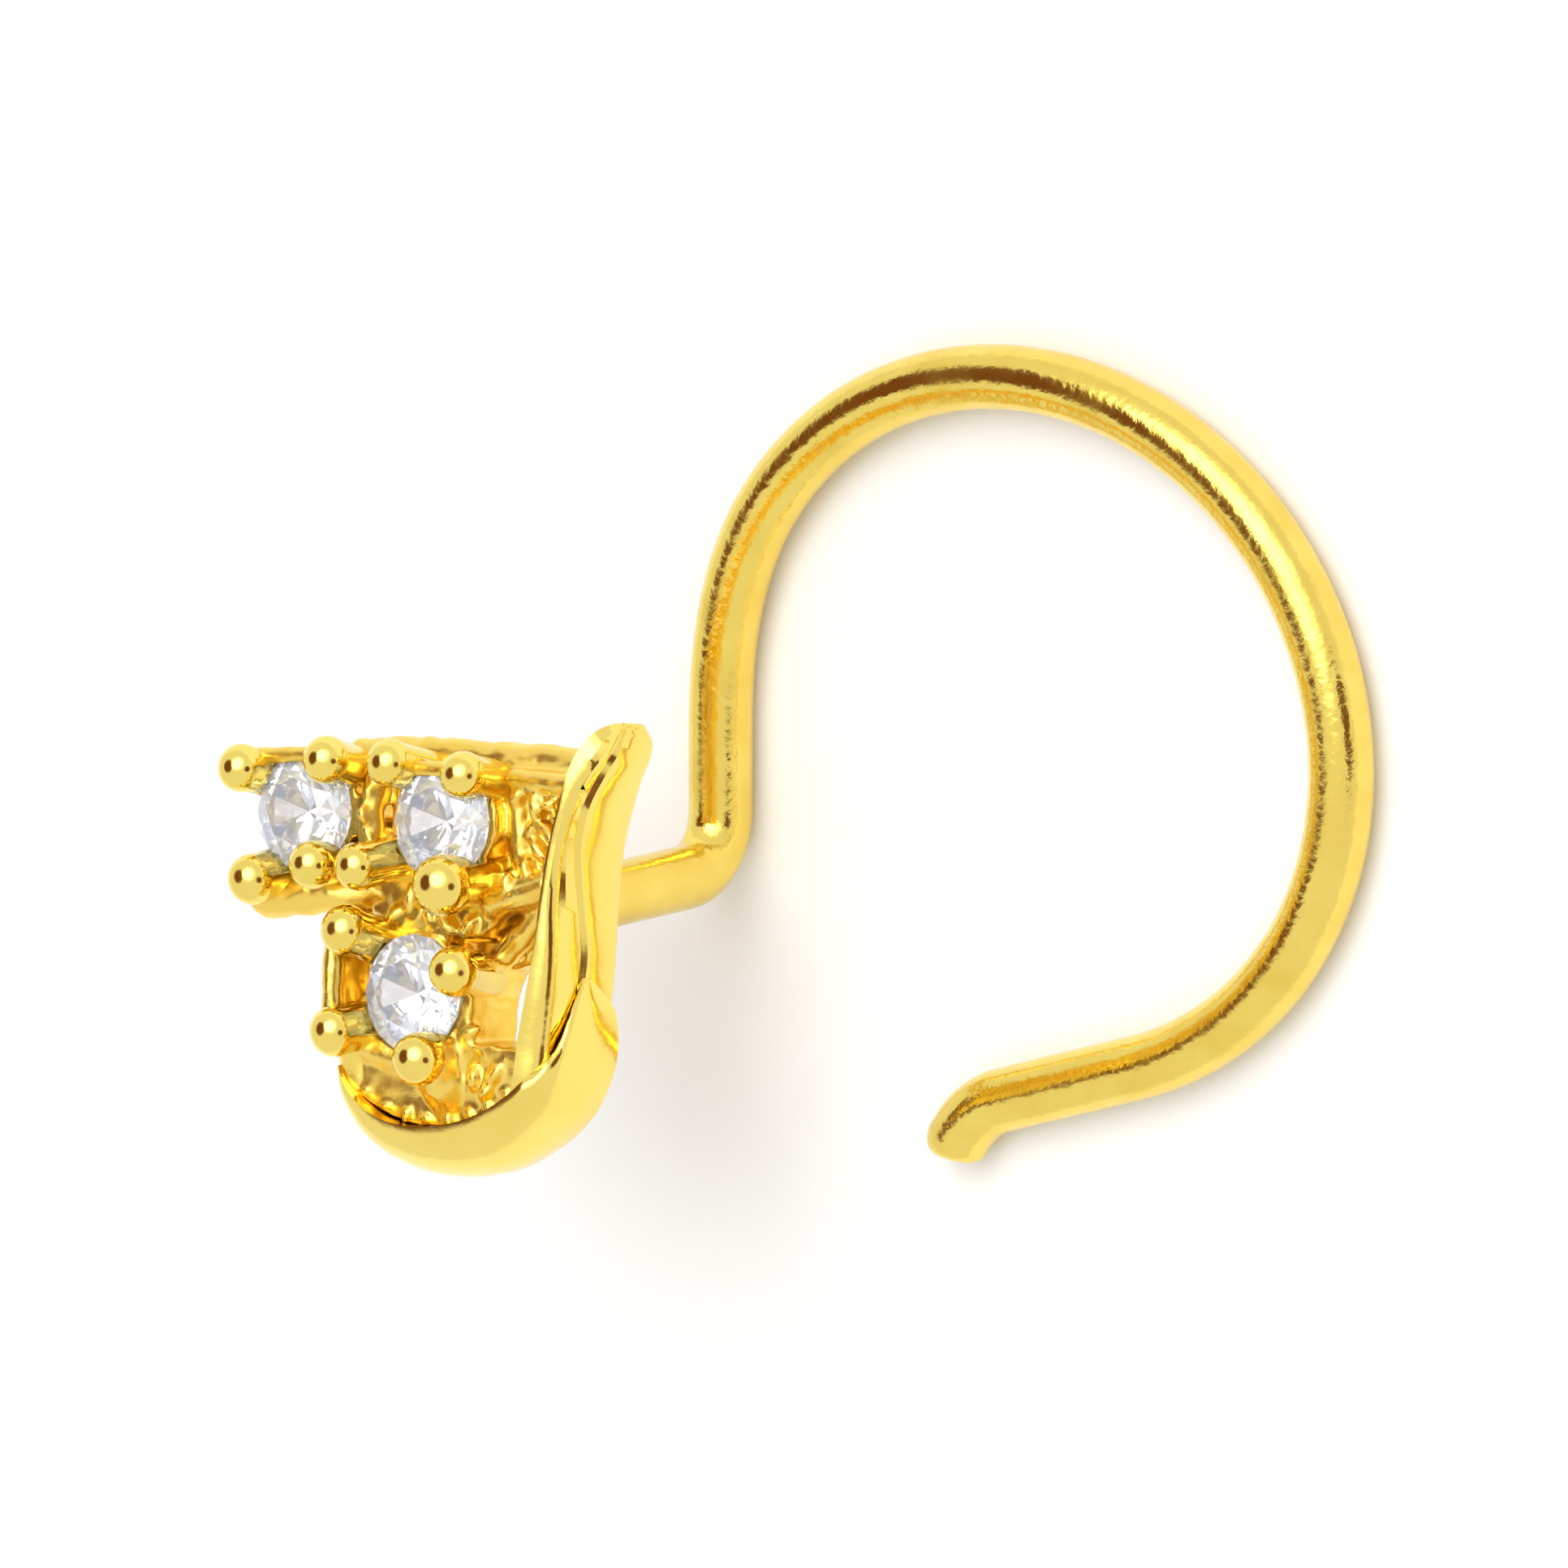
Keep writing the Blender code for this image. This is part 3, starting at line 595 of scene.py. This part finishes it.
plate = slab(((-2.2, 1.32), (-0.46, -0.89), (1.55, -0.35), (2.1, 1.8), (-0.05, 1.2)), 0.0, 0.45)
seat = slab(
    ((-1.42, -2.05), (-1.05, -2.32), (-0.6, -2.47), (-0.1, -2.5), (0.42, -2.43), (0.86, -2.28),
     (1.17, -2.1), (1.3, -1.75), (1.28, -1.56), (0.15, SEAT_EDGE), (-1.0, SEAT_EDGE)),
    SEAT_FOOT, SEAT_TOP,
)
for vert in seat.verts:
    if vert.co.z > (SEAT_FOOT + SEAT_TOP) / 2 * MM:
        vert.co.z += SEAT_FALL * (vert.co.y - SEAT_EDGE * MM)
saddle = slab(((-1.3, 0.1), (-0.95, -0.25), (0.4, -0.2), (0.95, 0.25), (0.75, 0.6), (-1.2, 0.55)),
              0.1, 0.86)
shoulder = slab(((0.72, 0.50), (1.85, 0.55), (2.05, 1.85), (0.6, 1.95)), 0.1, 0.72)
cheek = slab(((0.64, -0.45), (0.43, -0.93), (0.35, -1.55), (0.08, -1.52), (0.15, -0.9),
              (0.30, -0.38)), 0.1, 1.05)
side_wall = slab(((-1.74, -0.16), (-1.54, -0.16), (-1.57, -1.30), (-1.77, -1.30)), 0.5, 1.12)
fillings = [plate, seat, saddle, shoulder, cheek, side_wall]
print(len(fillings), "slabs")

# %% [markdown]
# Rails tie the claws together, and some bars stand behind the stones where the photograph barely
# shows them. A bar is a sphere pulled long: the half of its points above the middle slide out, so
# both ends stay round and sink softly into what they meet.

# %% Rails and bars
BARS = (
    # start, end, radius in mm
    ((-1.75, 2.03, 0.46), (-0.45, 2.04, 0.46), 0.21),
    ((-0.45, 2.04, 0.46), (1.92, 1.86, 0.52), 0.21),
    ((-2.83, 0.27, 0.94), (-2.00, 0.34, 0.85), 0.27),
    ((-2.00, 0.34, 0.85), (-1.00, 0.32, 0.56), 0.27),
    ((-1.64, -0.25, 1.16), (-1.67, -1.21, 1.16), 0.13),
    ((-2.90, 1.99, 1.19), (-1.65, 2.02, 1.19), 0.11),
    ((-0.60, 1.86, 1.19), (0.45, 1.79, 1.19), 0.11),
    ((-1.48, -1.42, 0.98), (-1.42, -1.95, 0.82), 0.24),
    ((-1.36, -1.52, 0.95), (-0.60, -1.75, 0.90), 0.20),
    ((-1.28, -1.36, 0.50), (-1.28, -0.20, 0.50), 0.22),
    ((-0.11, -1.68, 1.10), (-0.02, -2.05, 0.80), 0.36),
    ((-1.33, 0.72, 0.80), (-1.34, 1.30, 0.86), 0.19),
    ((-1.34, 1.30, 0.86), (-1.26, 1.86, 0.74), 0.17),
    ((-0.98, 0.62, 0.62), (-0.95, 1.85, 0.56), 0.20),
    ((0.86, 1.70, 0.72), (1.85, 1.62, 0.78), 0.17),
    ((0.92, 0.75, 0.70), (0.84, 1.62, 0.70), 0.13),
    ((0.60, 0.20, 0.80), (1.35, 0.42, 0.80), 0.20),
    ((0.66, -0.40, 0.62), (1.35, 0.30, 0.62), 0.16),
)


def bar(start, end, radius):
    start, end = Vector(start) * MM, Vector(end) * MM
    turn = (end - start).to_track_quat("Z", "Y").to_matrix().to_4x4()
    bm = bmesh.new()
    bmesh.ops.create_uvsphere(bm, u_segments=20, v_segments=12, radius=radius * MM)
    far = [v for v in bm.verts if v.co.z > 1e-7]
    bmesh.ops.translate(bm, vec=(0, 0, (end - start).length), verts=far)
    bmesh.ops.transform(bm, matrix=Matrix.Translation(start) @ turn, verts=bm.verts)
    return bm


bars = [bar(*row) for row in BARS]
print(len(bars), "bars")

# %% [markdown]
# Each stone sits in a cup, a short tapering tube whose rim is a little under the stone's edge. It is
# spun from its wall's outline, because a cone with a hole cut in it would give the same shape with
# more steps.

# %% Cups
RIM_DROP, CUP_FOOT = 0.16 * MM, 0.05 * MM


def cup(stone):
    bore, rim = CUP_BACK - CUP_WALL, GIRDLE - RIM_DROP
    bm = spun([(bore, CUP_FOOT), (CUP_BACK, CUP_FOOT), (CUP, rim), (bore, rim)], 40)
    bmesh.ops.translate(bm, vec=STONES[stone], verts=bm.verts)
    bmesh.ops.recalc_face_normals(bm, faces=bm.faces)
    return bm


cups = [cup(stone) for stone in STONES]
print(len(cups), "cups")

# %% [markdown]
# The nuggets are what the photograph shows as a crust of bright points: metal that was pricked
# and raised with a tool to fill the space. Each is a small crumb, longer than wide and turned its
# own way, half sunk in the filling. A row of smaller ones follows the seam along the crescent. A
# noise alone could roughen the filling, but then no crumb would stand out from the rest.

# %% Nuggets
NUGGETS = (
    # across, up, height, radius in mm
    (1.20, 1.38, 0.78, 0.15), (1.44, 1.40, 0.86, 0.10), (1.62, 1.22, 0.86, 0.13),
    (1.10, 1.10, 0.72, 0.13), (1.34, 1.12, 0.80, 0.10), (1.48, 0.98, 0.84, 0.12),
    (1.22, 0.86, 0.78, 0.12), (1.62, 0.74, 0.82, 0.15), (1.40, 0.66, 0.84, 0.10),
    (1.06, 0.62, 0.80, 0.13), (0.86, 0.44, 0.92, 0.12), (1.52, 0.50, 0.74, 0.12),
    (-0.62, 0.24, 0.90, 0.15), (-0.34, 0.10, 0.90, 0.12), (-0.06, -0.04, 0.92, 0.14),
    (-0.88, 0.06, 0.88, 0.13), (0.24, -0.08, 0.86, 0.13), (-0.30, 0.40, 0.88, 0.14),
    (0.40, -1.36, 1.02, 0.13), (0.62, -1.62, 1.00, 0.12), (0.80, -1.86, 1.02, 0.12),
    (0.48, -1.90, 1.04, 0.11), (0.96, -1.64, 0.98, 0.11), (0.66, -2.06, 1.02, 0.09),
    (-1.25, -2.08, 0.96, 0.08), (-0.95, -2.26, 0.96, 0.07), (-0.62, -2.37, 0.96, 0.08),
    (-0.30, -2.41, 0.95, 0.07), (0.02, -2.41, 0.95, 0.08), (0.36, -2.35, 0.96, 0.07),
    (0.66, -2.25, 0.96, 0.08), (0.95, -2.11, 0.98, 0.08), (0.90, 1.50, 0.80, 0.12),
    (-1.30, 1.52, 0.94, 0.10), (-1.32, 1.28, 1.00, 0.11), (-1.28, 1.02, 0.96, 0.10),
)


def nugget(across, over, height, radius):
    bm = bmesh.new()
    bmesh.ops.create_icosphere(bm, subdivisions=2, radius=radius * MM)
    bmesh.ops.scale(bm, vec=(1.45, 0.75, 1.0), verts=bm.verts)
    turn = Matrix.Rotation(7.0 * across + 11.0 * over, 3, "Z")
    bmesh.ops.rotate(bm, cent=(0, 0, 0), matrix=turn, verts=bm.verts)
    bmesh.ops.translate(bm, vec=Vector((across, over, height)) * MM, verts=bm.verts)
    return bm


nuggets = [nugget(*row) for row in NUGGETS]
print(len(nuggets), "nuggets")

# %% [markdown]
# Melting: all those shells go into one mesh, and a Remesh modifier in voxel mode keeps only the
# outer skin, as molten metal does. A Smooth modifier leaves fillets in every corner. A boolean union
# would keep the hard lines where the forms meet.

# %% Melting the casting
GRAIN = 0.036 * MM
melt = gather([*fillings, *bars, *cups, *nuggets])
bmesh.ops.transform(melt, matrix=HEAD, verts=melt.verts)
base = finish_piece("cast_base", melt, cast_gold)


def settle(thing):
    """Turns a piece's modifiers into its mesh."""
    graph = bpy.context.evaluated_depsgraph_get()
    mesh = bpy.data.meshes.new_from_object(thing.evaluated_get(graph))
    thing.modifiers.clear()
    thing.data = mesh


skin = base.modifiers.new("melt", "REMESH")
skin.mode = "VOXEL"
skin.voxel_size = GRAIN
skin.use_smooth_shade = True
relax = base.modifiers.new("relax", "SMOOTH")
relax.factor = 0.5
relax.iterations = 3
bpy.context.view_layer.update()
settle(base)
print("cast_base melted to", len(base.data.polygons), "faces")

# %% [markdown]
# No casting is quite smooth, so each point is nudged along its normal by two noises, a fine grain and
# a broad roll. The back is left flat, because it lies against the nose.

# %% Skin of the casting
FINE_GRAIN, FINE_NUDGE = 0.16 * MM, 0.012 * MM
BROAD_ROLL, BROAD_NUDGE = 0.34 * MM, 0.034 * MM
FLAT_BACK = 0.06 * MM
into_head = HEAD.inverted()
normals = [vert.normal.copy() for vert in base.data.vertices]
for vert, normal in zip(base.data.vertices, normals):
    if (into_head @ vert.co).z > FLAT_BACK:
        fine = noise.noise(vert.co / FINE_GRAIN)
        broad = noise.noise(vert.co / BROAD_ROLL)
        vert.co += normal * (FINE_NUDGE * fine + BROAD_NUDGE * broad)
print("skin of", len(normals), "points nudged")

# %% [markdown]
# A setter cuts a seat for each stone and leaves a hole behind it for light. The cutter is a stone's
# outline with its gap, on a straight drill, spun once and taken away from the casting and from the
# claws by a boolean. The stones then stand free of the metal by that gap.

# %% Seats and light holes
GAP, GIRDLE_HALF = 0.03 * MM, 0.022 * MM
PAVILION, TABLE = 0.86, 0.56
CROWN = 0.2475 * MM
DRILL = -0.3 * MM


def seat_cutter(stone):
    edge, bore = STONE_RADIUS + GAP, CUP_BACK - CUP_WALL
    low, high = GIRDLE - GIRDLE_HALF - GAP, GIRDLE + GIRDLE_HALF + GAP
    roof = GIRDLE + GIRDLE_HALF + CROWN
    outline = [(0, DRILL), (bore, DRILL), (bore, low - (edge - bore) * PAVILION), (edge, low),
               (edge, high), (TABLE * STONE_RADIUS + GAP, roof), (0, roof)]
    bm = spun(outline, 48)
    bmesh.ops.transform(bm, matrix=HEAD @ Matrix.Translation(STONES[stone]), verts=bm.verts)
    bmesh.ops.recalc_face_normals(bm, faces=bm.faces)
    return bm


cutter_mesh = bpy.data.meshes.new("seats")
cutters = gather([seat_cutter(stone) for stone in STONES])
cutters.to_mesh(cutter_mesh)
cutters.free()
cutter = bpy.data.objects.new("seats", cutter_mesh)
bpy.context.scene.collection.objects.link(cutter)
for thing in (base, claw_beads):
    carve = thing.modifiers.new("carve", "BOOLEAN")
    carve.operation = "DIFFERENCE"
    carve.solver = "EXACT"
    carve.use_self = thing is claw_beads
    carve.object = cutter
    bpy.context.view_layer.update()
    settle(thing)
    for face in thing.data.polygons:
        face.use_smooth = True
    print(thing.name, "now has", len(thing.data.polygons), "faces")
bpy.data.objects.remove(cutter)

# %% [markdown]
# The floor is a plain pale sheet, a grid of one face. The part rests on it, and only its soft shadow
# shows. A backdrop that curves up behind would do too, but this camera looks down and would see
# only the sheet.

# %% Floor
floor_bm = bmesh.new()
bmesh.ops.create_grid(floor_bm, x_segments=1, y_segments=1, size=1.5)
floor_mesh = bpy.data.meshes.new("floor")
floor_bm.to_mesh(floor_mesh)
floor_bm.free()
floor = bpy.data.objects.new("floor", floor_mesh)
bpy.context.scene.collection.objects.link(floor)
pale = bpy.data.materials.new("pale_floor")
pale.use_nodes = True
pale.node_tree.nodes["Principled BSDF"].inputs["Base Color"].default_value = (0.93, 0.93, 0.93, 1)
pale.node_tree.nodes["Principled BSDF"].inputs["Roughness"].default_value = 0.9
floor_mesh.materials.append(pale)
print("floor has", len(floor_mesh.polygons), "face")

# %% [markdown]
# Gold shows what it reflects, so the light is a white tent, made of the world itself. It has a bright
# patch beside the camera. Two brown cards hang in it, a big one at the left and a small one beside
# the lens. They are the brown edge and the brown spot that every ball shows, and the dark line along
# the wire. Real cards on stands would do the same, but they could get into the picture.

# %% Light tent
world = bpy.data.worlds.new("tent")
bpy.context.scene.world = world
world.use_nodes = True
sky, sky_links = world.node_tree.nodes, world.node_tree.links
glow = sky["Background"]
way_in = sky.new("ShaderNodeTexCoord")


def patch(direction, inner, outer):
    """1 inside a round patch of the tent, falling to 0 at its rim; the rims are angles."""
    toward = sky.new("ShaderNodeVectorMath")
    toward.operation = "DOT_PRODUCT"
    toward.inputs[1].default_value = Vector(direction).normalized()
    sky_links.new(way_in.outputs["Generated"], toward.inputs[0])
    fall = sky.new("ShaderNodeMapRange")
    fall.interpolation_type = "SMOOTHSTEP"
    fall.inputs["From Min"].default_value = math.cos(math.radians(outer))
    fall.inputs["From Max"].default_value = math.cos(math.radians(inner))
    sky_links.new(toward.outputs["Value"], fall.inputs["Value"])
    return fall.outputs["Result"]


def scaled(value, low, high):
    blend = sky.new("ShaderNodeMapRange")
    blend.inputs["To Min"].default_value = low
    blend.inputs["To Max"].default_value = high
    sky_links.new(value, blend.inputs["Value"])
    return blend.outputs["Result"]


left_card = patch(-0.97 * right + 0.30 * back + 0.14 * up, 18, 27)
lens_card = patch(back + 0.50 * right - 0.10 * up, 10, 15)
key_glow = scaled(patch(0.85 * back - 0.38 * right + 0.36 * up, 14, 34), 0.95, 2.7)
sky_links.new(key_glow, glow.inputs["Strength"])
cards = sky.new("ShaderNodeMath")
cards.operation = "MAXIMUM"
sky_links.new(left_card, cards.inputs[0])
sky_links.new(lens_card, cards.inputs[1])
tone = sky.new("ShaderNodeMix")
tone.data_type = "RGBA"
tone.inputs[6].default_value = (1, 1, 1, 1)
tone.inputs[7].default_value = (0.20, 0.075, 0.03, 1)
sky_links.new(cards.outputs["Value"], tone.inputs["Factor"])
sky_links.new(tone.outputs[2], glow.inputs["Color"])
print("tent lit")

# %% [markdown]
# One soft lamp above gives the pin its shadow on the floor. A tent alone lights everything evenly, so
# the pin would seem to float. The lamp is a wide disk, so the shadow's edge is soft.

# %% Soft lamp
def soft_lamp(name, direction, distance, size, power):
    data = bpy.data.lights.new(name, "AREA")
    data.shape = "DISK"
    data.size = size
    data.energy = power
    lamp = bpy.data.objects.new(name, data)
    bpy.context.scene.collection.objects.link(lamp)
    lamp.location = corner + Vector(direction).normalized() * distance
    lamp.rotation_euler = Vector(direction).to_track_quat("Z", "Y").to_euler()
    print(name, "gives", power, "W")


soft_lamp("over_lamp", (0.1, 0.5, 1.0), distance=0.25, size=0.20, power=0.12)
bpy.context.scene.view_settings.view_transform = "Standard"
